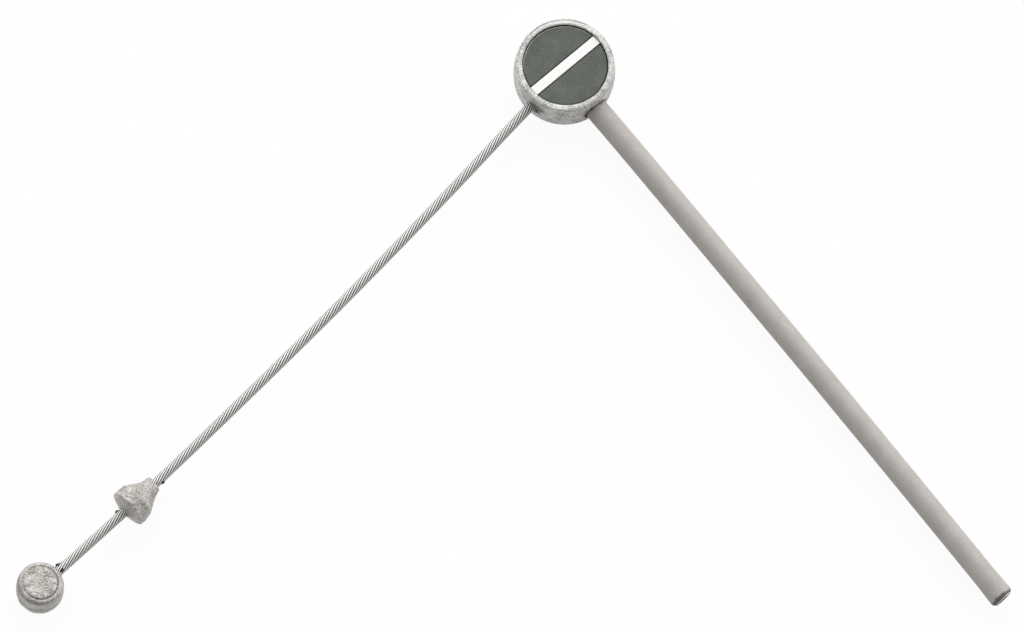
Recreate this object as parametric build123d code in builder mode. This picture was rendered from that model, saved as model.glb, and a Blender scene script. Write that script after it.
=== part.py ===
"""Link wire of a cantilever bicycle brake.

A round die-cast carrier holds two legs that spread in a V. One leg is a
stranded wire with a pear-shaped nipple and a barrel at its end. The other is
a flexible hose, through which the bicycle's main brake wire leaves the
carrier. The carrier lies on its back at z = 0, its axis is Z, and the V opens
towards -Y. Sizes are in millimetres and degrees.
"""
from build123d import *
import os
from math import atan, cos, radians, sin, tan

os.makedirs("parts", exist_ok=True)

# ---------------------------------------------------------------- dimensions

# Carrier: a round tray, open at the face, where the disc closes it. Its wall
# bulges, as a casting's does that parts at half its height
carrier_d = 15.35        # at half the height
face_d = 14.8
back_d = 14.9
rim_width = 0.9          # rim round the face disc
face_round = 0.15        # as-cast rounding of the face's outer edge
back_round = 0.3         # and of the back's
back_wall = 0.8          # metal left under the ferrule's pocket
rim_round = 0.25         # rounding of the rim's inner edge

# Face disc and the white bar let into it
disc_t = 0.7
disc_recess = 0.35       # the disc lies this far below the rim
disc_fit = 0.11          # gap all round the disc, at its radius
disc_break = 0.2
cover_gap = 0.05         # gap between the disc and the ferrule's pocket
bar_width = 1.45
bar_t = 0.3
bar_fit = 0.05           # gap on both sides of the bar
bar_angle = 41.5         # direction of the bar, from +X towards +Y

# Hose leg
hose_angle = -52.1
hose_reach = 106.3       # from the carrier's axis to the cut end
hose_d = 3.6
liner_d = 2.7
liner_bore = 2.0
hose_bevel = 0.25        # edge of the jacket at the cut end

# Ferrule on the hose's inner end
ferrule_wall = 0.25
ferrule_lip = 0.3        # the ring that the hose's end stands on
ferrule_length = 2.55
ferrule_fit = 0.05       # running gap in the pocket, at every side
ferrule_land = 0.75      # metal from the pocket's end to the disc's seat

# Hose port in the carrier's wall
port_fit = 0.15          # gap round the hose, at its radius
port_flare = 0.05        # how far the mouth opens, at its radius
port_flare_depth = 0.3

# Way of the main brake wire, from the top entry to the ferrule
way_angle = 87.0
entry_d = 2.2            # bore in the carrier's wall
groove_d = 2.6           # groove under the disc
way_bend_r = 5.0
way_land = 0.5           # metal from the groove's end to the disc's seat
entry_flare = 0.4
entry_flare_depth = 0.4

# Wire leg
wire_angle = -132.9
wire_d = 1.5
swing = 12.0             # from the photographed pose towards the hose leg
anchor_d = 4.0
anchor_h = 3.8
anchor_fit = 0.06        # running gap of the anchor nipple, at its radius
anchor_play = 0.05       # gap under the anchor nipple
anchor_land = 0.54       # metal from its pocket to the disc's seat
anchor_break = 0.2
wire_gap = 0.05          # gap over and under the wire, and at each end of its swing
wire_mouth = 0.06        # bevel of the wire port's mouth

# Route of the wire: along its own direction from the anchor nipple, and aside
wire_route = [
    (-1.2, 0.0),
    (6.0, 0.0),
    (22.0, 0.49),
    (46.0, 0.75),
    (70.0, 0.43),
    (92.0, -0.14),
    (112.6, -1.4),
]

# Pear-shaped seat nipple, cast on the wire
seat_d = 6.05
seat_rim = 1.9           # length of its cylindrical rim
seat_length = 5.5        # from the nose to the rim's end
seat_crown = 1.15        # the back is a cone, this high
seat_nose_d = 2.45
seat_waist_d = 3.7       # half way along the flare
seat_round = 0.2
seat_station = 88.8      # wire length from its inner end to the nose
rest_gap = 0.02          # the rim clears the surface by this, for rounding

# Barrel at the wire's outer end, with the sheared gate of the casting on its top
barrel_d = 7.2           # at half the height
barrel_face_d = 7.0
barrel_h = 4.6
barrel_round = 0.8
gate_d = 5.05
gate_step = 0.12
barrel_bite = 1.25       # how far the wire goes past the barrel's axis

# ------------------------------------------------------------- worked out

carrier_r = carrier_d / 2
seat_r = face_d / 2 - rim_width
ferrule_r = hose_d / 2 + ferrule_wall
pocket_r = ferrule_r + ferrule_fit
leg_z = back_wall + pocket_r
disc_seat_z = leg_z + pocket_r + cover_gap
disc_top_z = disc_seat_z + disc_t
carrier_h = disc_top_z + disc_recess

pocket_end = seat_r - ferrule_land
pocket_start = pocket_end - ferrule_length - 2 * ferrule_fit
ferrule_start = pocket_start + ferrule_fit
hose_start = ferrule_start + ferrule_lip
port_r = hose_d / 2 + port_fit

anchor_pocket_r = anchor_d / 2 + anchor_fit
anchor_floor_z = leg_z - anchor_h / 2 - anchor_play
pivot_reach = seat_r - anchor_land - anchor_pocket_r


def along(angle, distance, z=0.0):
    """The point at a distance from the carrier's axis, in a direction."""
    return (distance * cos(radians(angle)), distance * sin(radians(angle)), z)


def across(angle, distance):
    """The upright plane there, square to the direction, with its Y axis up."""
    heading = Vector(*along(angle, 1))
    side = Vector(0, 0, 1).cross(heading)
    return Plane(origin=along(angle, distance, leg_z), x_dir=side, z_dir=heading)


def bulging(widest_d, lower_d, upper_d, height):
    """Half the outline of a round body whose side is an arc, from its axis out."""
    with BuildLine() as outline:
        foot = Line((0, 0), (lower_d / 2, 0))
        side = ThreePointArc(foot @ 1, (widest_d / 2, height / 2), (upper_d / 2, height))
        top = Line(side @ 1, (0, height))
        Line(top @ 1, (0, 0))
    make_face(outline.edges())


def corner_radii(points):
    """The largest arc at each corner: 0.45 of the shorter run on each side."""
    radii = []
    for before, corner, after in zip(points, points[1:], points[2:]):
        run_in = Vector(*corner) - Vector(*before)
        run_out = Vector(*after) - Vector(*corner)
        half_turn = radians(run_in.get_angle(run_out)) / 2
        radii.append(0.45 * min(run_in.length, run_out.length) / tan(half_turn))
    return radii


# ------------------------------------------------------------------ wire leg

# The wire climbs a little from the anchor to the seat nipple, whose rim rests
# on the surface
climb = atan((seat_d / 2 + rest_gap - leg_z) / (seat_station + seat_length))
wire_plane = Plane(
    origin=along(wire_angle, pivot_reach, leg_z),
    x_dir=along(wire_angle, cos(climb), sin(climb)),
    z_dir=along(wire_angle, -sin(climb), cos(climb)),
)

with BuildLine(wire_plane) as wire_line:
    FilletPolyline(*wire_route, radius=corner_radii(wire_route))
wire_path = wire_line.wire()
wire_length = wire_path.length

with BuildPart() as link_wire:
    with BuildSketch(Plane(origin=wire_path @ 0, z_dir=wire_path % 0)):
        Circle(wire_d / 2)
    sweep(path=wire_path)
link_wire.part.label = "link_wire"
export_step(link_wire.part, "parts/link_wire.step")

with BuildPart() as anchor_nipple:
    with BuildSketch(Plane.XY.offset(leg_z - anchor_h / 2)):
        with Locations(along(wire_angle, pivot_reach)):
            Circle(anchor_d / 2)
    extrude(amount=anchor_h)
    fillet(anchor_nipple.edges().filter_by(GeomType.CIRCLE), anchor_break)
    add(link_wire.part, mode=Mode.SUBTRACT)
anchor_nipple.part.label = "anchor_nipple"
export_step(anchor_nipple.part, "parts/anchor_nipple.step")

# Seat nipple: turned about the wire, its nose towards the carrier
seat_nose = wire_path.position_at(seat_station, position_mode=PositionMode.LENGTH)
seat_heading = wire_path.tangent_at(seat_station, position_mode=PositionMode.LENGTH)
flare_length = seat_length - seat_rim

with BuildPart() as seat_nipple:
    with BuildSketch(Plane(origin=seat_nose, x_dir=seat_heading, z_dir=wire_plane.z_dir)):
        with BuildLine() as seat_profile:
            nose = Line((0, 0), (0, seat_nose_d / 2))
            flare = ThreePointArc(
                nose @ 1,
                (flare_length / 2, seat_waist_d / 2),
                (flare_length, seat_d / 2),
            )
            rim = Line(flare @ 1, (seat_length, seat_d / 2))
            back = Line(rim @ 1, (seat_length + seat_crown, 0))
            Line(back @ 1, (0, 0))
        make_face()
    revolve(axis=Axis(seat_nose, seat_heading))
    fillet(seat_nipple.edges().filter_by(GeomType.CIRCLE), seat_round)
    add(link_wire.part, mode=Mode.SUBTRACT)
seat_nipple.part.label = "seat_nipple"
export_step(seat_nipple.part, "parts/seat_nipple.step")

barrel_axis = wire_path.position_at(wire_length - barrel_bite, position_mode=PositionMode.LENGTH)
barrel_foot = Vector(barrel_axis.X, barrel_axis.Y, barrel_axis.Z - barrel_h / 2)

with BuildPart() as grip_barrel:
    with BuildSketch(Plane(origin=barrel_foot, x_dir=(1, 0, 0), z_dir=(0, -1, 0))):
        bulging(barrel_d, barrel_face_d, barrel_face_d, barrel_h)
    revolve(axis=Axis(barrel_foot, (0, 0, 1)))
    barrel_edges = grip_barrel.edges().filter_by(GeomType.CIRCLE).sort_by(Axis.Z)
    fillet([barrel_edges[0], barrel_edges[-1]], barrel_round)
    with BuildSketch(Plane(barrel_foot).offset(barrel_h)):
        Circle(gate_d / 2)
    extrude(amount=gate_step)
    add(link_wire.part, mode=Mode.SUBTRACT)
grip_barrel.part.label = "grip_barrel"
export_step(grip_barrel.part, "parts/grip_barrel.step")

# ------------------------------------------------------------------ hose leg

with BuildPart() as hose_ferrule:
    with BuildSketch(across(hose_angle, ferrule_start)):
        Circle(ferrule_r)
        Circle(liner_bore / 2, mode=Mode.SUBTRACT)
    extrude(amount=ferrule_length)
    with BuildSketch(across(hose_angle, hose_start)):
        Circle(hose_d / 2)
    extrude(amount=ferrule_length - ferrule_lip, mode=Mode.SUBTRACT)
hose_ferrule.part.label = "hose_ferrule"
export_step(hose_ferrule.part, "parts/hose_ferrule.step")

with BuildPart() as hose_jacket:
    with BuildSketch(across(hose_angle, hose_start)):
        Circle(hose_d / 2)
        Circle(liner_d / 2, mode=Mode.SUBTRACT)
    extrude(amount=hose_reach - hose_start)
    cut_end = hose_jacket.faces().sort_by(Axis(across(hose_angle, 0).origin, along(hose_angle, 1)))[-1]
    chamfer(cut_end.outer_wire().edges(), hose_bevel)
hose_jacket.part.label = "hose_jacket"
export_step(hose_jacket.part, "parts/hose_jacket.step")

with BuildPart() as hose_liner:
    with BuildSketch(across(hose_angle, hose_start)):
        Circle(liner_d / 2)
        Circle(liner_bore / 2, mode=Mode.SUBTRACT)
    extrude(amount=hose_reach - hose_start)
hose_liner.part.label = "hose_liner"
export_step(hose_liner.part, "parts/hose_liner.step")

# ------------------------------------------------------------------- carrier


def groove_profile(radius):
    """A U in an upright plane: round below, open up to the disc's seat."""
    Circle(radius)
    Rectangle(2 * radius, disc_seat_z - leg_z, align=(Align.CENTER, Align.MIN))


def way_path(start):
    """The main wire's line, from a distance above the axis to the ferrule."""
    with BuildLine(Plane.XY.offset(leg_z)) as line:
        FilletPolyline(
            along(way_angle, start),
            (0, 0),
            along(hose_angle, pocket_start),
            radius=way_bend_r,
        )
    return line.wire()


# The wire's port is a level slot that widens from the anchor nipple outwards,
# so that the wire clears it at each end of its swing. It points to the middle
# of the swing
port_plane = Plane(
    origin=along(wire_angle, pivot_reach, leg_z),
    x_dir=along(wire_angle + swing / 2 + 90, 1),
    z_dir=along(wire_angle + swing / 2, 1),
)
wall_reach = carrier_r - pivot_reach


def swing_slot(distance, opening=0.0):
    """Section of the wire's port at a distance from the anchor nipple's axis."""
    half_swing = radians(swing) / 2
    half_height = wire_d / 2 + wire_gap
    half_width = half_height / cos(half_swing) + distance * tan(half_swing)
    SlotOverall(2 * (half_width + opening), 2 * (half_height + opening))


groove_path = way_path(seat_r - way_land)
bore_path = way_path(carrier_r + entry_d)

with BuildPart() as carrier_body:
    with BuildSketch(Plane.XZ):
        bulging(carrier_d, back_d, face_d, carrier_h)
    revolve(axis=Axis.Z)
    fillet(carrier_body.edges().filter_by(GeomType.CIRCLE).sort_by(Axis.Z)[0], back_round)
    fillet(carrier_body.edges().filter_by(GeomType.CIRCLE).sort_by(Axis.Z)[-1], face_round)

    # Seat of the face disc
    with BuildSketch(Plane.XY.offset(disc_seat_z)):
        Circle(seat_r)
    extrude(amount=carrier_h - disc_seat_z, mode=Mode.SUBTRACT)
    rim_edges = carrier_body.edges().filter_by(GeomType.CIRCLE).group_by(Axis.Z)[-1]
    fillet(rim_edges.sort_by(SortBy.RADIUS)[0], rim_round)

    # Pocket of the anchor nipple, and the port that its wire swings in
    with BuildSketch(Plane.XY.offset(anchor_floor_z)):
        with Locations(along(wire_angle, pivot_reach)):
            Circle(anchor_pocket_r)
    extrude(amount=disc_seat_z - anchor_floor_z, mode=Mode.SUBTRACT)
    with BuildSketch(port_plane.offset(anchor_d / 4)):
        swing_slot(anchor_d / 4)
    with BuildSketch(port_plane.offset(wall_reach)):
        swing_slot(wall_reach)
    loft(mode=Mode.SUBTRACT)
    with BuildSketch(port_plane.offset(wall_reach - 2 * wire_mouth)):
        swing_slot(wall_reach - 2 * wire_mouth)
    with BuildSketch(port_plane.offset(wall_reach + wire_mouth)):
        swing_slot(wall_reach + wire_mouth, wire_mouth)
    loft(mode=Mode.SUBTRACT)

    # Pocket of the ferrule, and the flared port of the hose
    with BuildSketch(across(hose_angle, pocket_start)):
        groove_profile(pocket_r)
    extrude(amount=pocket_end - pocket_start, mode=Mode.SUBTRACT)
    with BuildSketch(across(hose_angle, pocket_start)):
        Circle(port_r)
    extrude(amount=carrier_d, mode=Mode.SUBTRACT)
    with BuildSketch(across(hose_angle, carrier_r - port_flare_depth)):
        Circle(port_r)
    with BuildSketch(across(hose_angle, carrier_r)):
        Circle(port_r + port_flare)
    loft(mode=Mode.SUBTRACT)

    # Way of the main wire: a groove under the disc, a bore through the wall
    with BuildSketch(across(way_angle, seat_r - way_land)):
        groove_profile(groove_d / 2)
    sweep(path=groove_path, mode=Mode.SUBTRACT)
    with BuildSketch(across(way_angle, carrier_r + entry_d)):
        Circle(entry_d / 2)
    sweep(path=bore_path, mode=Mode.SUBTRACT)
    with BuildSketch(across(way_angle, carrier_r - entry_flare_depth)):
        Circle(entry_d / 2)
    with BuildSketch(across(way_angle, carrier_r)):
        Circle(entry_d / 2 + entry_flare)
    loft(mode=Mode.SUBTRACT)
carrier_body.part.label = "carrier_body"
export_step(carrier_body.part, "parts/carrier_body.step")

with BuildPart() as face_disc:
    with BuildSketch(Plane.XY.offset(disc_seat_z)):
        Circle(seat_r - disc_fit)
    extrude(amount=disc_t)
    chamfer(face_disc.edges().group_by(Axis.Z)[-1], disc_break)
    with BuildSketch(Plane.XY.offset(disc_top_z)):
        Rectangle(carrier_d, bar_width + 2 * bar_fit, rotation=bar_angle)
    extrude(amount=-bar_t, mode=Mode.SUBTRACT)
face_disc.part.label = "face_disc"
export_step(face_disc.part, "parts/face_disc.step")

with BuildPart() as index_bar:
    with BuildSketch(Plane.XY.offset(disc_top_z - bar_t)):
        Circle(seat_r - disc_fit)
        Rectangle(carrier_d, bar_width, rotation=bar_angle, mode=Mode.INTERSECT)
    extrude(amount=bar_t)
index_bar.part.label = "index_bar"
export_step(index_bar.part, "parts/index_bar.step")

# -------------------------------------------------------------------- checks

radii = ", ".join(f"{radius:.0f}" for radius in corner_radii(wire_route))
section = 3.14159265 * wire_d**2 / 4
print(f"wire length {wire_length:.2f}, arc radii {radii}")
print(f"wire volume {link_wire.part.volume:.3f}, section times length {section * wire_length:.3f}")
print(f"hose length {hose_reach - hose_start:.2f}, carrier height {carrier_h:.2f}, legs at z {leg_z:.2f}")
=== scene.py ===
"""Looks of a cantilever brake's link wire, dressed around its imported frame.

A die-cast carrier with a dark face and a white bar holds two legs: a stranded
steel wire with two cast nipples, and a grey hose, cut off nearly square. The
wire and the hose are cords along the routes of their solids, but the hose
strays from its straight one by about 0.2 mm. Sizes are in millimetres, turned to
metres where a mesh is made.
"""
from math import atan, cos, pi, radians, sin, tan, tau

import bmesh
import bpy
import numpy as np
from mathutils import Euler, Matrix, Vector


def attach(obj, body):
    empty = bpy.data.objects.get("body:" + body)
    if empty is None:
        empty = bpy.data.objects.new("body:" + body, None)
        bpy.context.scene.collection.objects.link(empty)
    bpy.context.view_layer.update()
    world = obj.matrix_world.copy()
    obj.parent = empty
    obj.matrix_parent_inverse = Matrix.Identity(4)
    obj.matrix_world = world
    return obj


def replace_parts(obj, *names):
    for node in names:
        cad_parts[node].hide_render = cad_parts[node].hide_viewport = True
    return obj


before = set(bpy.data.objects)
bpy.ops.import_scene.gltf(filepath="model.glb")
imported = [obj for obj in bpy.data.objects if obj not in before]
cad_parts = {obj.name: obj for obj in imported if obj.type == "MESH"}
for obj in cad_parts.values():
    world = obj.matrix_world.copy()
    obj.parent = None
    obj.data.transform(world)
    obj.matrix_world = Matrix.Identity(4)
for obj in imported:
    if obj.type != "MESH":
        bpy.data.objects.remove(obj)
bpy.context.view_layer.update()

MM = 0.001

# ------------------------------------------------------------------ the view

photo_width = 1024
pixels_per_mm = 6.646     # at the aim
view_elevation = radians(69.48)
view_azimuth = radians(-8.17)
view_roll = radians(8.18)
view_distance = 4.0       # metres: a long lens from far away
aim = (-8.259, -39.362, 2.9)

level_view = Euler((pi / 2 - view_elevation, 0, view_azimuth)).to_matrix()
turned_view = level_view @ Matrix.Rotation(view_roll, 3, "Z")
eye = bpy.data.cameras.new("camera")
camera = bpy.data.objects.new("camera", eye)
camera.location = Vector(aim) * MM + turned_view.col[2] * view_distance
camera.rotation_euler = turned_view.to_euler()
eye.lens = eye.sensor_width * view_distance * pixels_per_mm / (photo_width * MM)
eye.clip_start = 0.1
eye.clip_end = 100
bpy.context.scene.collection.objects.link(camera)
bpy.context.scene.camera = camera
bpy.context.scene.view_settings.view_transform = "Standard"

# ---------------------------------------------------------------- the sizes

# A relief is a list of layers of lumps: how far they stand out, their size, and
# the seed that they are drawn from.

# Carrier, its face disc and the bar let into the disc
leg_z = 2.9               # height of both legs where they leave the carrier
carrier_r = 7.675         # at half its height
carrier_h = 6.1
rim_line_r = 7.2          # a dark line runs along the rim here
seat_edge_r = 6.5         # inner edge of the rim
disc_r = 6.39
disc_top = 5.75
disc_break = 0.2          # its edge is broken by this
bar_width = 1.45
bar_gap = 0.05            # on both sides of the bar
bar_angle = radians(41.5)

# Wire leg: its route is given along its own direction from the pivot, and aside.
# The hose's route is given in the same way, from the carrier's axis
wire_angle = radians(-132.9)
pivot_reach = 3.90
wire_route = [
    (-1.2, 0.0),
    (6.0, 0.0),
    (22.0, 0.49),
    (46.0, 0.75),
    (70.0, 0.43),
    (92.0, -0.14),
    (112.6, -1.4),
]
wire_d = 1.5
strand_count = 12         # in the outer layer, round a core of seven
strand_d = 0.3
lay_length = 12.6         # along the wire, in which a strand goes round once
wire_step = 0.2
strand_points = 9         # round the outer half of each strand
# Scraps of black flux on the wire beside the nipples: along it, facing, and size
scraps = (
    (87.5, 0.0, 0.22),
    (95.8, pi, 0.32),
    (108.2, pi, 0.38),
    (108.4, radians(60), 0.17),
)
scrap_stain = 3           # a scrap is black where it stands over a third of its height

# Pear-shaped nipple, from its nose outwards
seat_station = 88.8
seat_length = 5.5
seat_nose_r = 1.225
seat_waist_r = 1.85       # half way along the flare
seat_rim_r = 3.025
seat_rim = 1.9
seat_crown = 1.15
nose_lead = 0.3           # the nose was cast this much longer on one side
nose_lead_length = 2.0    # and the difference is lost over this length
rest_gap = 0.02           # the rim clears the floor by this
nipple_bore_r = 0.6       # inside the strands, where it doesn't show
seat_softening = 3        # times that its outline's corners are averaged
seat_skin_r = (0.75, 1.1)  # the cast skin begins and is full at these radii
seat_skin = ((0.12, 1.1, 3), (0.07, 0.45, 4))
seat_waver = ((0.04, 0.6, 5),)    # along the wire

# Barrel
barrel_bite = 1.25
barrel_r = 3.6            # at half the height
barrel_face_r = 3.5
barrel_h = 4.6
barrel_round = 0.8
barrel_skin = ((0.04, 0.9, 6), (0.02, 0.35, 10))
# Grooves round the side: height from the middle, half width, share of darkening.
# The lower is black with grime, the upper is painted shade on the top's rounding
grooves = ((-0.2, 0.1, 0.95), (1.98, 0.13, 0.45))
groove_depth = 0.08
groove_side = radians(-105)       # they are deepest and darkest here, on the side away from the key lamp
# The sheared gate of the casting, on the barrel's top, and the ring round it
gate_r = 2.525
gate_step = 0.12
gate_lean = 0.02          # its side leans in by this
gate_edge = 0.1           # the swirl on its face begins within this
swirl_height = 0.11
swirl_size = 0.7
gate_grain = ((0.03, 0.25, 8),)
ring_r = gate_r + 0.12
ring_half_width = 0.14
ring_depth = 0.12
ring_side = radians(-20)  # where it is painted darkest

# Hose leg
hose_angle = radians(-52.1)
hose_start = 3.45
hose_reach = 106.3
hose_route = [
    (hose_start, 0.0),
    (9.0, 0.23),
    (35.0, 0.23),
    (70.0, 0.27),
    (hose_reach, -0.14),
]
hose_d = 3.6
liner_d = 2.7
liner_bore = 2.0
port_run = 5.0            # the first stretch, in and just outside the port
port_step = 0.06
hose_pinch = 0.11         # the cutter left the end this much wider than high
pinch_length = 5.0
cut_bevel = 0.3           # the blade turned the jacket's edge in; the turned edge is painted dark as shade
cut_length = 0.5
cut_slant = 0.3           # the cut lies this much further back at the bottom
cut_lead = 0.35           # and runs this much further out on the side of the wire leg
slant_length = 2.0        # the slant is lost over this length
liner_lip = 0.16          # the liner stands out of the jacket by this
bore_shade_band = 0.27        # painted shade covers this much of the liner's cut end, in from the bore
dark_edge_stray = ((0.3, 0.8, 11), (0.15, 0.3, 12))    # how its edge strays

# ------------------------------------------------------------------ helpers


def direction(angle):
    """The level direction at an angle from +X."""
    return np.array([cos(angle), sin(angle), 0.0])


def linear(code):
    """An sRGB hex colour as a linear one."""
    shares = [int(code[i : i + 2], 16) / 255 for i in (1, 3, 5)]
    return [s / 12.92 if s <= 0.04045 else ((s + 0.055) / 1.055) ** 2.4 for s in shares] + [1.0]


def corner_heights(corner, seed):
    """A repeatable height from 0 to 1 for each whole-numbered lattice corner."""
    mixed = (corner * (73856093, 19349663, 83492791)).sum(-1) + seed * 40503
    mixed = ((mixed ^ (mixed >> 13)) * 1274126177) & 0x7FFFFFFF
    return ((mixed ^ (mixed >> 15)) & 0xFFFF) / 0xFFFF


def lumps(points, size, seed):
    """Random relief from -1 to 1 whose lumps are about one size across.

    Heights at the corners of a cubic lattice are blended by 3t^2 - 2t^3.
    """
    cell = points / size
    low = np.floor(cell)
    t = cell - low
    t = t * t * (3 - 2 * t)
    height = np.zeros(points.shape[:-1])
    for corner in np.ndindex(2, 2, 2):
        share = np.where(corner, t, 1 - t).prod(-1)
        height += share * corner_heights(low.astype(np.int64) + corner, seed)
    return 2 * height - 1


def relief(points, layers):
    """The sum of some layers of lumps, each times how far it stands out."""
    return sum(height * lumps(points, size, seed) for height, size, seed in layers)


def ease(value, start, end):
    """0 before start, 1 after end, and 3t^2 - 2t^3 between them."""
    t = np.clip((value - start) / (end - start), 0, 1)
    return t * t * (3 - 2 * t)


def circle_middle(*points):
    """The middle of the circle through three points.

    Each of its coordinates is a sum over the points: the square of a point's
    distance from the origin times how far apart the two others are in the other
    coordinate, divided by four times the area of the triangle.
    """
    (x0, y0), (x1, y1), (x2, y2) = points
    s0, s1, s2 = (x**2 + y**2 for x, y in points)
    scale = 2 * (x0 * (y1 - y2) + x1 * (y2 - y0) + x2 * (y0 - y1))
    return (
        (s0 * (y1 - y2) + s1 * (y2 - y0) + s2 * (y0 - y1)) / scale,
        (s0 * (x2 - x1) + s1 * (x0 - x2) + s2 * (x1 - x0)) / scale,
    )


def smooth_line(name, route):
    """Points of the smooth line, in mm, that has the route's points as its controls."""
    curve = bpy.data.curves.new(name, "CURVE")
    curve.dimensions = "3D"
    spline = curve.splines.new("NURBS")
    spline.points.add(len(route) - 1)
    for control, point in zip(spline.points, route):
        control.co = (*(np.array(point) * MM), 1)
    spline.order_u = 3
    spline.use_endpoint_u = True
    spline.resolution_u = 40
    holder = bpy.data.objects.new(name, curve)
    mesh = bpy.data.meshes.new_from_object(holder)
    line = np.array([vertex.co for vertex in mesh.vertices]) / MM
    bpy.data.objects.remove(holder)
    bpy.data.meshes.remove(mesh)
    return line


def stations(line):
    """Distance along the line of each of its points."""
    return np.concatenate([[0], np.cumsum(np.linalg.norm(np.diff(line, axis=0), axis=1))])


def carried(line, along, aside, above):
    """Points of a profile carried along a line.

    Each is the line's point at a distance, plus so much to its level side and
    so much square to both. The side is up crossed with the line's heading. Past
    its ends the line goes straight on.
    """
    run = stations(line)
    step = 0.05           # the heading is taken over this much on each side

    def at(distance):
        return np.stack([np.interp(distance, run, line[:, k]) for k in range(3)], -1)

    within = np.clip(along, step, run[-1] - step)
    heading = at(within + step) - at(within - step)
    heading /= np.linalg.norm(heading, axis=-1, keepdims=True)
    side = np.cross((0.0, 0.0, 1.0), heading)
    side /= np.linalg.norm(side, axis=-1, keepdims=True)
    up = np.cross(heading, side)
    centre = at(within) + (along - within)[..., None] * heading
    return centre + aside[..., None] * side + above[..., None] * up


def skin(name, grid, body, material, round_trip=False, marks=None):
    """A closed mesh over a grid of rings, given in mm.

    Every ring joins up with itself. With round_trip the last ring joins the
    first, and otherwise the first and last rings are points, merged to poles.
    marks are named numbers, one for each point of the grid.
    """
    rows, columns = grid.shape[:2]
    index = np.arange(rows * columns).reshape(rows, columns)
    below = index if round_trip else index[:-1]
    above = np.roll(index, -1, 0) if round_trip else index[1:]
    beside = [np.roll(part, -1, 1) for part in (below, above)]
    faces = np.stack([below, beside[0], beside[1], above], -1).reshape(-1, 4)
    mesh = bpy.data.meshes.new(name)
    mesh.from_pydata((grid.reshape(-1, 3) * MM).tolist(), [], faces.tolist())
    for mark, values in (marks or {}).items():
        values = np.broadcast_to(values, (rows, columns)).ravel().astype(np.float32)
        layer = mesh.attributes.new(mark, "FLOAT", "POINT")
        layer.data.foreach_set("value", values)
    work = bmesh.new()
    work.from_mesh(mesh)
    bmesh.ops.remove_doubles(work, verts=work.verts, dist=1e-8)
    bmesh.ops.recalc_face_normals(work, faces=work.faces)
    work.to_mesh(mesh)
    work.free()
    mesh.shade_smooth()
    mesh.materials.append(material)
    piece = bpy.data.objects.new(name, mesh)
    bpy.context.scene.collection.objects.link(piece)
    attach(piece, body)
    return piece


def plug(node, sockets):
    """Give each of a node's sockets its value, or link it to another node's output."""
    for name, value in sockets.items():
        if isinstance(value, bpy.types.NodeSocket):
            node.id_data.links.new(value, node.inputs[name])
        else:
            node.inputs[name].default_value = value


def add(material, kind, sockets=None, **settings):
    """One node with its settings. A socket takes a value or another node's output."""
    node = material.node_tree.nodes.new(kind)
    for name, value in settings.items():
        setattr(node, name, value)
    plug(node, sockets or {})
    return node


def new_material(name):
    """A new material and its shader."""
    material = bpy.data.materials.new(name)
    material.use_nodes = True
    return material, material.node_tree.nodes["Principled BSDF"]


def coat(material, code, *shares):
    """Lay a colour over the material's base colour, where all the shares are 1."""
    share = shares[0]
    for other in shares[1:]:
        share = add(
            material, "ShaderNodeMath", {0: share, 1: other}, operation="MULTIPLY"
        ).outputs[0]
    shader = material.node_tree.nodes["Principled BSDF"]
    under = shader.inputs["Base Color"].links[0].from_socket
    both = add(
        material, "ShaderNodeMix", {0: share, 6: under, 7: linear(code)}, data_type="RGBA"
    )
    plug(shader, {"Base Color": both.outputs[2]})


# --------------------------------------------------------------- materials


def cast_zinc(name, dull, bright, shine):
    """As-cast zinc alloy, tumbled: a dull, pale metal with a pebbled skin.

    The skin scatters the light, so it is rough. Soft stains and the pebbles show
    as grey mottling between the two colours, with a few dark pits, and the
    pebbles catch small glints where the metal is bare, which shine gives. Grime
    and painted shade lie where a piece is marked for them.
    """
    stain_size, pebble_size, pit_size, pebble_height = 1.6, 0.3, 0.55, 0.16
    material, shader = new_material(name)
    place = add(material, "ShaderNodeTexCoord").outputs["Object"]
    stain = add(
        material, "ShaderNodeTexNoise",
        {"Vector": place, "Scale": 1 / (stain_size * MM), "Detail": 3.0},
    ).outputs["Fac"]
    pebble = add(
        material, "ShaderNodeTexNoise",
        {"Vector": place, "Scale": 1 / (pebble_size * MM), "Detail": 4.0, "Roughness": 0.65},
    ).outputs["Fac"]
    pit = add(
        material, "ShaderNodeTexNoise",
        {"Vector": place, "Scale": 1 / (pit_size * MM), "Detail": 1.0},
    ).outputs["Fac"]
    mottle = add(material, "ShaderNodeMix", {0: 0.65, 2: stain, 3: pebble}).outputs[0]
    tone = add(
        material, "ShaderNodeMapRange", {"Value": mottle, "From Min": 0.38, "From Max": 0.6}
    ).outputs["Result"]
    colour = add(
        material, "ShaderNodeMix", {0: tone, 6: linear(dull), 7: linear(bright)}, data_type="RGBA"
    ).outputs[2]
    bump = add(
        material, "ShaderNodeBump",
        {"Height": pebble, "Distance": pebble_height * MM, "Strength": 1.0},
    ).outputs["Normal"]
    plug(shader, {
        "Base Color": colour,
        "Normal": bump,
        "Metallic": shine,
        "Roughness": 0.6 - 0.3 * shine,
    })
    pitted = add(
        material, "ShaderNodeMapRange",
        {"Value": pit, "From Min": 0.7, "From Max": 0.76, "To Max": 0.7},
    ).outputs["Result"]
    coat(material, "#55534f", pitted)
    # Grime and painted shade, where a piece is marked for them.
    dirt_and_shade = add(material, "ShaderNodeAttribute", attribute_name="dirt_and_shade").outputs["Fac"]
    coat(material, "#3a3936", dirt_and_shade)
    return material


def reach_from_axis(material, place):
    """Distance from the carrier's axis."""
    level = add(
        material, "ShaderNodeVectorMath", {0: place, 1: (1.0, 1.0, 0.0)}, operation="MULTIPLY"
    ).outputs["Vector"]
    return add(material, "ShaderNodeVectorMath", {0: level}, operation="LENGTH").outputs["Value"]


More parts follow.
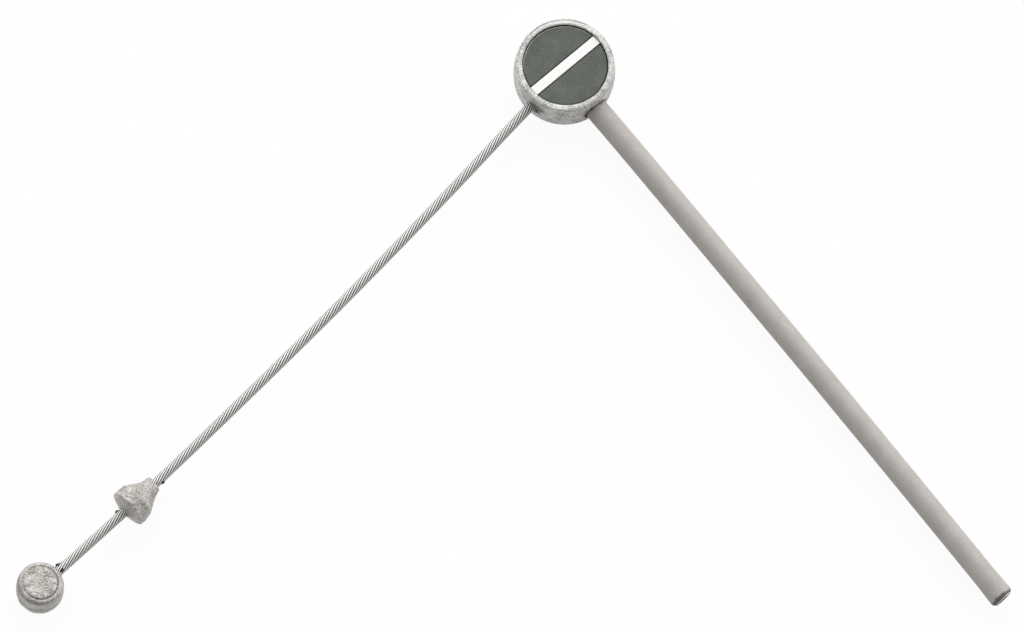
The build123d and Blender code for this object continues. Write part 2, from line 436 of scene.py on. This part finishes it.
def port_shade(material, place, angle, lift, radius):
    """Two shares that make the painted shade round a port: near the port, and on the carrier's
    wall.

    The first goes by the distance from a level line out of the carrier's axis, at
    an angle and a height above the legs. Noise is added to that distance, so the
    shade's soft edge is ragged.
    """
    stray = 1.6
    none_beyond, full_within = radius + 1.6, radius + 0.7    # with the noise in it
    heading = direction(angle)
    local = add(
        material, "ShaderNodeVectorMath", {0: place, 1: (0, 0, (leg_z + lift) * MM)},
        operation="SUBTRACT",
    ).outputs["Vector"]
    aside = add(
        material, "ShaderNodeVectorMath", {0: local, 1: heading}, operation="CROSS_PRODUCT"
    ).outputs["Vector"]
    distance = add(
        material, "ShaderNodeVectorMath", {0: aside}, operation="LENGTH"
    ).outputs["Value"]
    noise = add(
        material, "ShaderNodeTexNoise", {"Vector": place, "Scale": 1 / (0.7 * MM), "Detail": 3.0}
    ).outputs["Fac"]
    ragged = add(
        material, "ShaderNodeMath", {0: noise, 1: stray * MM, 2: distance},
        operation="MULTIPLY_ADD",
    ).outputs[0]
    near = add(
        material, "ShaderNodeMapRange",
        {"Value": ragged, "From Min": none_beyond * MM, "From Max": full_within * MM},
        interpolation_type="SMOOTHSTEP",
    ).outputs["Result"]
    ahead = add(
        material, "ShaderNodeVectorMath", {0: local, 1: heading}, operation="DOT_PRODUCT"
    ).outputs["Value"]
    outside = add(
        material, "ShaderNodeMath", {0: ahead, 1: seat_edge_r * MM}, operation="GREATER_THAN"
    ).outputs[0]
    return near, outside


def carrier_zinc():
    """The cast zinc of the carrier, with painted light and shade on it.

    The rim's top is painted lighter towards the far side, as a painted highlight
    from the key lamp. Painted shade sits round both ports and, black, in the gap
    round the disc. Dark lines run along parts of the rim, and a painted shade
    line runs just below it.
    """
    material = cast_zinc("carrier_cast_zinc", "#9d9b97", "#f1efeb", 0.25)
    place = add(material, "ShaderNodeTexCoord").outputs["Object"]
    axes = add(material, "ShaderNodeSeparateXYZ", {0: place}).outputs
    reach, height = reach_from_axis(material, place), axes["Z"]
    # Zones of the casting: a test of the height or the reach against a size. The
    # last number is how near to it counts as on it
    zones = {
        name: add(
            material, "ShaderNodeMath", {0: value, 1: size * MM, 2: slack * MM}, operation=test
        ).outputs[0]
        for name, value, test, size, slack in (
            ("top", height, "GREATER_THAN", carrier_h - 0.1, 0.0),
            ("inner rim", reach, "LESS_THAN", rim_line_r, 0.0),
            ("rim's line", reach, "COMPARE", rim_line_r, 0.08),
            ("below the rim", height, "COMPARE", carrier_h - 0.3, 0.1),
            ("wall", reach, "GREATER_THAN", rim_line_r + 0.1, 0.0),
            ("below the face", height, "LESS_THAN", disc_top + 0.03, 0.0),
            ("disc's seat", reach, "LESS_THAN", seat_edge_r + 0.03, 0.0),
        )
    }
    # Painted highlight: the rim's top grows lighter towards the far side, where the key lamp
    # stands.
    far_side_highlight = add(
        material, "ShaderNodeMapRange",
        {"Value": axes["Y"], "From Min": 3 * MM, "From Max": 7 * MM, "To Max": 0.6},
    ).outputs["Result"]
    cloud = add(
        material, "ShaderNodeTexNoise", {"Vector": place, "Scale": 1 / (3 * MM), "Detail": 1.0}
    ).outputs["Fac"]
    patchy = add(
        material, "ShaderNodeMapRange",
        {"Value": cloud, "From Min": 0.42, "From Max": 0.52, "To Max": 0.75},
    ).outputs["Result"]
    coat(material, "#fbfaf7", far_side_highlight, zones["top"], zones["inner rim"])
    coat(material, "#7d7b76", zones["rim's line"], zones["top"], patchy)
    # A dark line painted on the wall just below the rim, as the shade under its edge.
    coat(material, "#7d7b76", zones["below the rim"], zones["wall"], patchy)
    # Painted shade round the hose's port and in the wire's port: direction, height above the
    # legs, radius and colour.
    for angle, lift, radius, colour in (
        (hose_angle, 0.0, 1.75, "#4b4a46"),
        (wire_angle + radians(8), 0.9, 0.8, "#6f6d68"),
    ):
        coat(material, colour, *port_shade(material, place, angle, lift, radius))
    # Painted shade: black on the seat below the disc's face, in the gap round the disc.
    coat(material, "#1c1c1a", zones["below the face"], zones["disc's seat"])
    return material


def strand_steel():
    """Galvanised steel strand, drawn: bright crowns, black painted shade in the grooves between
    strands, and black flux under the scraps.

    The zinc coat is dull, so the crowns scatter most of the light.
    """
    material, shader = new_material("strand_steel")
    crown = add(material, "ShaderNodeAttribute", attribute_name="crown").outputs["Fac"]
    # Painted shade: the crown mark falls to black in the grooves between strands, and under the
    # scraps of flux.
    clean = add(
        material, "ShaderNodeMapRange", {"Value": crown, "From Min": 0.5, "From Max": 1.0},
        interpolation_type="SMOOTHSTEP",
    ).outputs["Result"]
    colour = add(
        material, "ShaderNodeMix", {0: clean, 6: linear("#2b2a28"), 7: linear("#efedea")},
        data_type="RGBA",
    ).outputs[2]
    plug(shader, {"Base Color": colour, "Metallic": 0.5, "Roughness": 0.45})
    return material


def grained(name, clouds, grains, grain_share, dark, pale, roughness):
    """An even colour with faint clouds and a fine grain, which hardly stands out.

    Clouds and grains are each given by size and detail. The two together take the
    colour from dark to pale, and grain_share is the grain's part in that.
    """
    grain_height = 0.01
    material, shader = new_material(name)
    place = add(material, "ShaderNodeTexCoord").outputs["Object"]
    cloud, grain = (
        add(
            material, "ShaderNodeTexNoise",
            {"Vector": place, "Scale": 1 / (size * MM), "Detail": detail},
        ).outputs["Fac"]
        for size, detail in (clouds, grains)
    )
    both = add(material, "ShaderNodeMix", {0: grain_share, 2: cloud, 3: grain}).outputs[0]
    tone = add(
        material, "ShaderNodeMapRange", {"Value": both, "From Min": 0.35, "From Max": 0.65}
    ).outputs["Result"]
    colour = add(
        material, "ShaderNodeMix", {0: tone, 6: linear(dark), 7: linear(pale)}, data_type="RGBA"
    ).outputs[2]
    bump = add(
        material, "ShaderNodeBump",
        {"Height": grain, "Distance": grain_height * MM, "Strength": 0.5},
    ).outputs["Normal"]
    plug(shader, {"Base Color": colour, "Normal": bump, "Roughness": roughness})
    return material, place


def hose_vinyl():
    """Grey PVC, extruded: matt, with faint clouds and specks.

    It is painted dark as shade at its cut edge, and where it goes into the carrier's port.
    """
    material, _ = grained(
        "hose_vinyl", (2.5, 4.0), (0.3, 3.0), 0.5, "#aca7a2", "#bab5b0", roughness=0.55
    )
    dirt_and_shade = add(material, "ShaderNodeAttribute", attribute_name="dirt_and_shade").outputs["Fac"]
    # Painted shade at the cut edge and by the port.
    coat(material, "#4f4d49", dirt_and_shade)
    return material


def liner_nylon():
    """Natural nylon tube: off-white and waxy, its bore and the inner band of its cut end painted
    black as shade, and its lower lip painted black.
    """
    material, shader = new_material("liner_nylon")
    bore = add(material, "ShaderNodeAttribute", attribute_name="bore").outputs["Fac"]
    # The bore mark paints shade black in the bore and on the cut end's inner band, and blackens
    # the lower lip.
    colour = add(
        material, "ShaderNodeMix", {0: bore, 6: linear("#efeeea"), 7: linear("#2e2d2b")},
        data_type="RGBA",
    ).outputs[2]
    plug(shader, {"Base Color": colour, "Roughness": 0.35})
    return material


def disc_lacquer():
    """Grey-green lacquer on the face disc: even and finely grained.

    Its broken edge is painted lighter, and much lighter on the far side as a
    painted highlight where it faces the key lamp. Black painted shade lines the
    disc's side, in the gap round it, and the joint on each side of the bar.
    """
    highlight_side = radians(115)
    edge_full = 0.15          # the lighter edge is full this far in from the side
    joint = bar_width / 2 + bar_gap
    joint_shade_band = (0.22, 0.14)    # it begins and is full this far from the joint
    material, place = grained(
        "disc_lacquer", (3, 3.0), (0.25, 2.0), 0.6, "#454a45", "#656a64", roughness=0.5
    )
    reach = reach_from_axis(material, place)
    edge = add(
        material, "ShaderNodeMapRange",
        {
            "Value": reach,
            "From Min": (disc_r - disc_break) * MM,
            "From Max": (disc_r - edge_full) * MM,
        },
    ).outputs["Result"]
    ahead = add(
        material, "ShaderNodeVectorMath", {0: place, 1: direction(highlight_side)},
        operation="DOT_PRODUCT",
    ).outputs["Value"]
    far = add(
        material, "ShaderNodeMapRange", {"Value": ahead, "From Min": 1 * MM, "From Max": 4 * MM}
    ).outputs["Result"]
    side = add(
        material, "ShaderNodeMath", {0: reach, 1: (disc_r - 0.01) * MM}, operation="GREATER_THAN"
    ).outputs[0]
    across = (-sin(bar_angle), cos(bar_angle), 0)
    aside = add(
        material, "ShaderNodeVectorMath", {0: place, 1: across}, operation="DOT_PRODUCT"
    ).outputs["Value"]
    aside = add(material, "ShaderNodeMath", {0: aside}, operation="ABSOLUTE").outputs[0]
    beside = add(
        material, "ShaderNodeMapRange",
        {
            "Value": aside,
            "From Min": (joint + joint_shade_band[0]) * MM,
            "From Max": (joint + joint_shade_band[1]) * MM,
        },
    ).outputs["Result"]
    # The broken edge painted lighter, and on the far side a painted highlight, towards the key
    # lamp.
    coat(material, "#7c817b", edge)
    coat(material, "#dde0da", edge, far)
    # Painted shade: black on the disc's side, in the gap round it, and along the joint beside the
    # bar.
    coat(material, "#1c1c1a", side)
    coat(material, "#1e1e1c", beside)
    return material


def white_enamel():
    """White enamel on the bar let into the disc: clean, flat and a little glossy."""
    material, shader = new_material("white_enamel")
    plug(shader, {"Base Color": linear("#fcfcfa"), "Roughness": 0.4})
    return material


def drawn_brass():
    """Drawn brass of the ferrule: a smooth yellow metal, hidden in the carrier."""
    material, shader = new_material("drawn_brass")
    plug(shader, {"Base Color": linear("#c9a35c"), "Metallic": 1.0, "Roughness": 0.35})
    return material


def white_paper():
    """Matt paper, white where it is seen, itself or in a metal, and grey to the light.

    Seen, it mostly glows. The share left to the light keeps the object's shadow.
    """
    glow_share = 0.93
    material, shader = new_material("white_paper")
    path = add(material, "ShaderNodeLightPath").outputs
    colour = add(
        material, "ShaderNodeMix",
        {0: path["Is Camera Ray"], 6: linear("#bcbcbc"), 7: linear("#ffffff")},
        data_type="RGBA",
    ).outputs[2]
    plug(shader, {"Base Color": colour, "Roughness": 0.9})
    seen = path["Is Camera Ray"]
    for ray in ("Is Glossy Ray", "Is Transmission Ray"):
        seen = add(
            material, "ShaderNodeMath", {0: seen, 1: path[ray]}, operation="MAXIMUM"
        ).outputs[0]
    share = add(
        material, "ShaderNodeMath", {0: seen, 1: glow_share}, operation="MULTIPLY"
    ).outputs[0]
    glow = add(material, "ShaderNodeEmission", {"Color": linear("#ffffff"), "Strength": 1.0})
    paper = add(
        material, "ShaderNodeMixShader", {0: share, 1: shader.outputs[0], 2: glow.outputs[0]}
    )
    plug(material.node_tree.nodes["Material Output"], {"Surface": paper.outputs[0]})
    return material


raw_zinc = cast_zinc("raw_cast_zinc", "#94908b", "#d0cdc8", 0.55)
steel = strand_steel()
vinyl = hose_vinyl()
nylon = liner_nylon()

for node, material in {
    "carrier_body": carrier_zinc(),
    "anchor_nipple": raw_zinc,
    "face_disc": disc_lacquer(),
    "index_bar": white_enamel(),
    "hose_ferrule": drawn_brass(),
}.items():
    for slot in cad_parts[node].material_slots:
        slot.material = material

# ------------------------------------------------------------------ wire leg

# It climbs a little from the carrier, so that the pear's rim rests on the floor
wire_origin = pivot_reach * direction(wire_angle) + (0, 0, leg_z)
wire_climb = atan((seat_rim_r + rest_gap - leg_z) / (seat_station + seat_length))
wire_along = direction(wire_angle) * cos(wire_climb) + (0, 0, sin(wire_climb))
wire_aside = np.cross((0.0, 0.0, 1.0), direction(wire_angle))
wire_line = smooth_line(
    "wire_route",
    [wire_origin + a * wire_along + b * wire_aside for a, b in wire_route],
)


def strand_wire():
    """Twelve round strands laid round a core, closed in a point at each end.

    Across the wire, each strand is half an ellipse about its own middle, and
    neighbours meet in a groove. The whole section turns once in a lay length,
    left-handed. A scrap of flux stands out as a bell-shaped lump, which falls off
    with the square of the distance along and round the wire.
    """
    length = stations(wire_line)[-1]
    along = np.linspace(0, length, round(length / wire_step) + 1)
    middle_r = (wire_d - strand_d) / 2
    half = tau / strand_count / 2
    turn = np.tile(np.linspace(-pi / 2, pi / 2, strand_points, endpoint=False), strand_count)
    own = np.repeat(np.arange(strand_count) * 2 * half, strand_points)
    out = middle_r + strand_d / 2 * np.cos(turn)
    sideways = middle_r * tan(half) * np.sin(turn)
    angle = own + np.arctan2(sideways, out)
    radius = np.hypot(out, sideways)
    angle, along = np.meshgrid(angle, along)
    angle = angle - tau * along / lay_length
    black = np.zeros(along.shape)
    for station, facing, size in scraps:
        across = wire_d / 2 * np.angle(np.exp(1j * (angle - facing)))
        scrap = np.exp(-(((along - station) / size) ** 2) - (across / size) ** 2)
        radius = radius + size * scrap
        black += np.clip(scrap_stain * scrap, 0, 1)
    grid = carried(wire_line, along, radius * np.cos(angle), radius * np.sin(angle))
    none = np.zeros_like(along[:1])
    first, last = (carried(wire_line, end, none, none) for end in (along[:1], along[-1:]))
    grid = np.concatenate([first, grid, last])
    # The mark is 0 in the grooves between strands, as painted shade, and under the scraps of
    # flux.
    crown = np.cos(turn) * (1 - black)
    crown = np.concatenate([crown[:1], crown, crown[-1:]])
    return skin(
        "link_wire_strands", grid, "wire_leg", steel, marks={"crown": crown}
    )


def pear():
    """The pear-shaped nipple, turned about the wire.

    Its radius follows a circle through the nose, the waist and the rim, then stays
    the same along the rim, and falls evenly over the back. The corners are rounded
    by averaging neighbours. The cast skin stands in and out by fine lumps, and the
    nose leads on one side.
    """
    flare = seat_length - seat_rim
    x = np.linspace(0, flare, 40)
    middle_x, middle_r = circle_middle(
        (0, seat_nose_r), (flare / 2, seat_waist_r), (flare, seat_rim_r)
    )
    square = (0 - middle_x) ** 2 + (seat_nose_r - middle_r) ** 2
    flare_r = middle_r - np.sqrt(square - (x - middle_x) ** 2)
    back_end = 1 - nipple_bore_r / seat_rim_r
    profile = np.concatenate([
        [(0, r) for r in np.linspace(nipple_bore_r, seat_nose_r, 8)],
        np.stack([x, flare_r], -1),
        [(s, seat_rim_r) for s in np.linspace(flare, seat_length, 20)],
        [
            (seat_length + seat_crown * t, seat_rim_r * (1 - t))
            for t in np.linspace(0, back_end, 24)
        ],
        [(s, nipple_bore_r) for s in np.linspace(seat_length, 0, 6)],
    ])
    for _ in range(seat_softening):
        profile = (np.roll(profile, 1, 0) + 2 * profile + np.roll(profile, -1, 0)) / 4
    angle = np.linspace(0, tau, 120, endpoint=False)
    radius = np.broadcast_to(profile[:, 1:], (len(profile), len(angle)))
    along = seat_station + np.broadcast_to(profile[:, :1], radius.shape)
    place = np.stack([along, radius * np.cos(angle), radius * np.sin(angle)], -1)
    shows = ease(radius, *seat_skin_r)
    near_nose = 1 - ease(profile[:, :1], 0, nose_lead_length)
    radius = radius + shows * relief(place, seat_skin)
    along = along + shows * relief(place, seat_waver)
    along = along - nose_lead * near_nose * (1 - np.cos(angle)) / 2
    grid = carried(wire_line, along, radius * np.cos(angle), radius * np.sin(angle))
    piece = skin("seat_nipple_cast", grid, "wire_leg", raw_zinc, round_trip=True)
    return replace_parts(piece, "seat_nipple")


def barrel():
    """The barrel on the wire's end, turned about an upright axis.

    Half an outline, from the bottom's middle to the top's: flat, rounded, the
    bulging side, rounded, the ring, then the gate. Two grooves run round the side
    and fade out behind: the lower is black with grime, and the upper is painted
    dark as the shade on the top's rounding. The ring round the gate is painted
    dark as the shade in it. Grooves and ring are bell-shaped in section. The
    gate's face keeps the swirl that the shear left, which is a field of lumps
    pushed aside by another.
    """
    run = stations(wire_line)
    middle = [np.interp(run[-1] - barrel_bite, run, wire_line[:, k]) for k in range(3)]
    half, flat = barrel_h / 2, barrel_face_r - barrel_round
    bend = np.linspace(0, pi / 2, 14)
    lower = np.stack(
        [flat + barrel_round * np.sin(bend), -half + barrel_round * (1 - np.cos(bend))], -1
    )
    upper = lower[::-1] * (1, -1)
    edge = half - barrel_round
    side = np.linspace(-edge, edge, 60)[1:-1]
    profile = np.concatenate([
        [(r, -half) for r in np.linspace(0, flat, 12, endpoint=False)],
        lower,
        np.stack([barrel_r - (barrel_r - barrel_face_r) * (side / edge) ** 2, side], -1),
        upper,
        [(r, half) for r in np.linspace(flat, gate_r, 4)[1:]],
        [(gate_r - gate_lean, half + gate_step * t) for t in (0.35, 0.7)],
        [(r, half + gate_step) for r in np.linspace(gate_r - 0.05, 0, 44)],
    ])
    angle = np.linspace(0, tau, 180, endpoint=False)
    r = np.broadcast_to(profile[:, :1], (len(profile), len(angle)))
    z = np.broadcast_to(profile[:, 1:], r.shape)
    place = np.stack([r * np.cos(angle), r * np.sin(angle), z], -1)
    as_cast = ease(r, gate_r + 0.2, gate_r + 0.6)
    # The grooves are deep and dark in front, on the side away from the key lamp, and gone behind,
    # with large lumps to break them up
    front = 0.5 + 0.5 * lumps(place, 2.2, 14) + 0.6 * np.cos(angle - groove_side)
    front = as_cast * np.clip(front, 0, 1)
    lines = [
        (front * np.exp(-(((z - height) / width) ** 2)), darkening)
        for height, width, darkening in grooves
    ]
    ring = (z > half - 0.3) * np.exp(-(((r - ring_r) / ring_half_width) ** 2))
    on_gate = (z > half) * ease(-r, -gate_r, gate_edge - gate_r)
    pushed = place + 0.6 * lumps(place[..., ::-1], 1.6, 9)[..., None]
    swirl = swirl_height * lumps(pushed, swirl_size, 7)
    worn_in = groove_depth * sum(line for line, _ in lines)
    r = r + as_cast * relief(place, barrel_skin) - worn_in
    z = z + on_gate * (swirl + relief(place, gate_grain)) - ring_depth * ring
    grid = np.stack([r * np.cos(angle), r * np.sin(angle), z], -1) + middle
    # Painted shade in the upper groove and in the ring round the gate; the lower groove is black
    # with grime.
    ring_darkening = 0.25 + 0.3 * np.cos(angle - ring_side)
    dirt_and_shade = np.maximum(sum(darkening * line for line, darkening in lines), ring_darkening * ring)
    piece = skin(
        "grip_barrel_cast", grid, "wire_leg", raw_zinc, marks={"dirt_and_shade": dirt_and_shade}
    )
    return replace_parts(piece, "grip_barrel")


seat_nipple = pear()
grip_barrel = barrel()
link_wire = strand_wire()
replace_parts(link_wire, "link_wire")

# ------------------------------------------------------------------ hose leg

hose_aside = np.cross((0.0, 0.0, 1.0), direction(hose_angle))
hose_line = smooth_line(
    "hose_route",
    [a * direction(hose_angle) + b * hose_aside + (0, 0, leg_z) for a, b in hose_route],
)


def tube_wall(name, outer_r, inner_r, material, bevel=0.0, set_back=0.0):
    """A hose's layer: out along the outside, round its cut end, and back along the bore.

    Its section grows wider than high over the last stretch, where it was cut. The
    cut slants back towards the bottom, and leads on the side of the wire leg. Its
    marks are painted shade, at the cut edge and by the carrier's port, and black
    in the bore and on the lower lip.
    """
    length = stations(hose_line)[-1] - set_back
    pinch_start, cut_start = length - pinch_length, length - cut_length
    rings = np.concatenate([
        [(s, outer_r) for s in np.arange(0, port_run, port_step)],
        [(s, outer_r) for s in np.linspace(port_run, pinch_start, 60)],
        [(s, outer_r) for s in np.linspace(pinch_start, cut_start, 30)[1:]],
        [
            (length - cut_length * (1 - t), outer_r - bevel * t**1.5)
            for t in (0.2, 0.4, 0.6, 0.8, 0.9, 1)
        ],
        [(length, r) for r in np.linspace(outer_r - bevel, inner_r, 5)[1:]],
        [(s, inner_r) for s in np.linspace(length, pinch_start, 30)[1:]],
        [(s, inner_r) for s in np.linspace(pinch_start, 0, 40)[1:]],
    ])
    angle = np.linspace(0, tau, 90, endpoint=False)
    radius = np.broadcast_to(rings[:, 1:], (len(rings), len(angle)))
    along = np.broadcast_to(rings[:, :1], radius.shape)
    pinch = hose_pinch * ease(along, pinch_start, length)
    back = (cut_slant * (1 - np.sin(angle)) - cut_lead * (1 - np.cos(angle))) / 2
    back = back * ease(along, length - slant_length, length)
    grid = carried(
        hose_line, along - back,
        radius * (1 + pinch / outer_r) * np.cos(angle),
        radius * (1 - pinch / outer_r) * np.sin(angle),
    )
    from_axis = np.hypot(grid[..., 0], grid[..., 1])
    ragged = relief(grid, dark_edge_stray)
    # Painted shade at the cut edge and where the hose goes into the carrier's port.
    dirt_and_shade = np.maximum(
        ease(along + ragged, cut_start, cut_start + 0.15),
        0.8 - 0.8 * ease(from_axis + ragged, carrier_r, carrier_r + 0.3),
    )
    dirt_and_shade = dirt_and_shade * (0.85 + 0.15 * lumps(grid, 0.5, 13))
    lower_lip = (along > length - 0.1) * ease(-np.sin(angle), -0.2, 0.3)
    # Painted shade: black in the bore and over the inner band of the cut end, and black on the
    # lower lip.
    bore = np.maximum(radius < inner_r + bore_shade_band, lower_lip)
    return skin(
        name, grid, "hose_leg", material,
        round_trip=True, marks={"dirt_and_shade": dirt_and_shade, "bore": bore},
    )


hose_liner = tube_wall("hose_liner_tube", liner_d / 2, liner_bore / 2, nylon)
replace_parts(hose_liner, "hose_liner")
hose_jacket = tube_wall(
    "hose_jacket_tube", hose_d / 2, liner_d / 2, vinyl, cut_bevel, liner_lip
)
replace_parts(hose_jacket, "hose_jacket")

# -------------------------------------------------------- floor and lighting

floor_reach = 30.0        # metres, so that it fills low views too
floor_mesh = bpy.data.meshes.new("floor")
floor_mesh.from_pydata(
    [(x * floor_reach, y * floor_reach, 0) for x, y in ((-1, -1), (1, -1), (1, 1), (-1, 1))],
    [],
    [(0, 1, 2, 3)],
)
floor = bpy.data.objects.new("floor", floor_mesh)
bpy.context.scene.collection.objects.link(floor)
floor_mesh.materials.append(white_paper())

# Broad lamps far away: one behind the object, high up, and one low on each side.
# Each is given by where it stands, its height above level, and its energy
lamp_breadth = radians(60)
for name, stands, height, energy in (
    ("key", 90, 35, 2.05),
    ("left", 160, 21, 0.84),
    ("right", 15, 21, 1.18),
):
    lamp = bpy.data.objects.new(name, bpy.data.lights.new(name, "SUN"))
    lamp.data.energy = energy
    lamp.data.angle = lamp_breadth
    lamp.rotation_euler = (0, radians(90 - height), radians(stands))
    bpy.context.scene.collection.objects.link(lamp)

world = bpy.data.worlds.new("studio")
bpy.context.scene.world = world
world.use_nodes = True
plug(world.node_tree.nodes["Background"], {"Color": linear("#a6a6a6"), "Strength": 1.0})
